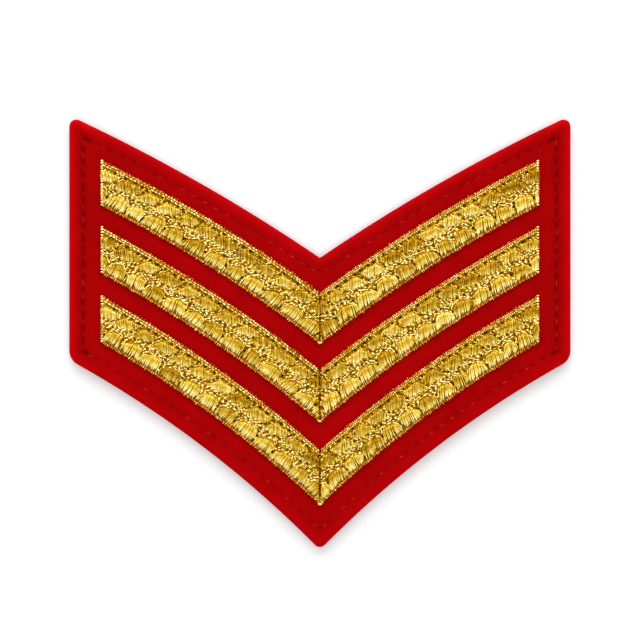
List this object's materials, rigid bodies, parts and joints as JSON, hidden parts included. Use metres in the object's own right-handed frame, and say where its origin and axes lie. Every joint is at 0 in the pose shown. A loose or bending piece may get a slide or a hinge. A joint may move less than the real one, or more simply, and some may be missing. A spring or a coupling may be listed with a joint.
{
  "type": "rank badge",
  "caption": "V-shaped cloth rank badge: gold lace chevrons with a leaf pattern on a red felt ground with a stitched, rolled border, to be sewn to a sleeve.",
  "frame": {"origin": "on the flat back of the felt, at the centre of the badge's box in X and Y", "axes": "+Z out of the embroidered face, +X to the right along the width, +Y towards the open side of the V"},
  "size_m": [0.1, 0.0854, 0.0031],
  "materials": {
    "red_felt": "soft wool felt with a short nap",
    "gold_lace": "metallic gold embroidery thread"
  },
  "bodies": {
    "root": {"backing": "red_felt", "lace_upper_left": "gold_lace", "lace_upper_right": "gold_lace", "lace_middle_left": "gold_lace", "lace_middle_right": "gold_lace", "lace_lower_left": "gold_lace", "lace_lower_right": "gold_lace"}
  },
  "joints": []
}
